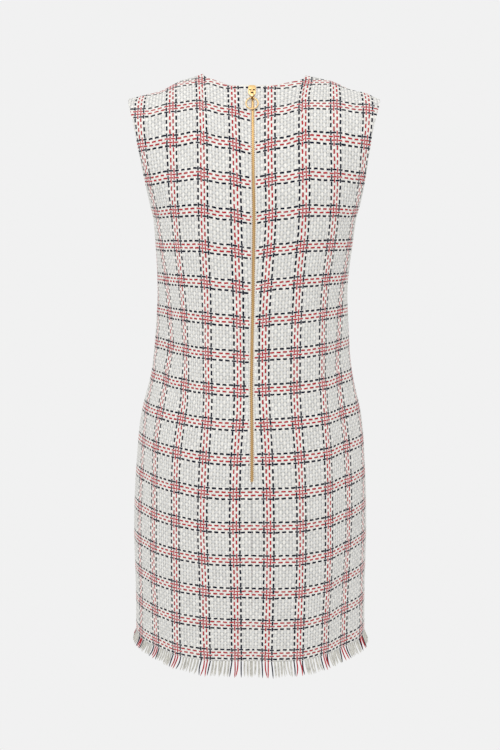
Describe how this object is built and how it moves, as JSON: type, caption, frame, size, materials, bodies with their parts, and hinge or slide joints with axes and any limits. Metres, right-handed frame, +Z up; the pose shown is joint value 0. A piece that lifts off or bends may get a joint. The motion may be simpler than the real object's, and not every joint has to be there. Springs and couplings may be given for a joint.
{
  "type": "sleeveless shift dress",
  "caption": "Sleeveless knee-length shift dress in checked tweed, filled out as worn, with an exposed metal back zip and a frayed hem.",
  "frame": {"origin": "midway between the two neck points of the shoulder seams, at their height, where the wearer's shoulders hold the dress", "axes": "+Z up; the front faces -Y and the zip at the centre back faces +Y; +X is the wearer's left"},
  "size_m": [0.3743, 0.2647, 0.9002],
  "materials": {
    "tweed": "chunky cream plain weave with navy and red windowpane checks",
    "zip_metal": "polished gold-coloured zip metal",
    "zip_tape": "cream woven tape"
  },
  "bodies": {
    "dress": {"front": "tweed", "back_left": "tweed", "back_right": "tweed", "fringe_front": "tweed", "fringe_back_left": "tweed", "fringe_back_right": "tweed", "zip_tape_left": "zip_tape", "zip_tape_right": "zip_tape", "zip_chain": "zip_metal", "zip_slider": "zip_metal"},
    "tab": {"pull_tab": "zip_metal"},
    "ring": {"pull_ring": "zip_metal"}
  },
  "joints": [
    {"name": "tab_swing", "type": "hinge", "parent": "dress", "child": "tab", "pos_m": [0, 0.05028, -0.02617], "axis": [1, 0, 0], "range_deg": [0, 135]},
    {"name": "ring_swing", "type": "hinge", "parent": "tab", "child": "ring", "pos_m": [0, 0.05706, -0.03726], "axis": [1, 0, 0], "range_deg": [0, 90]}
  ]
}
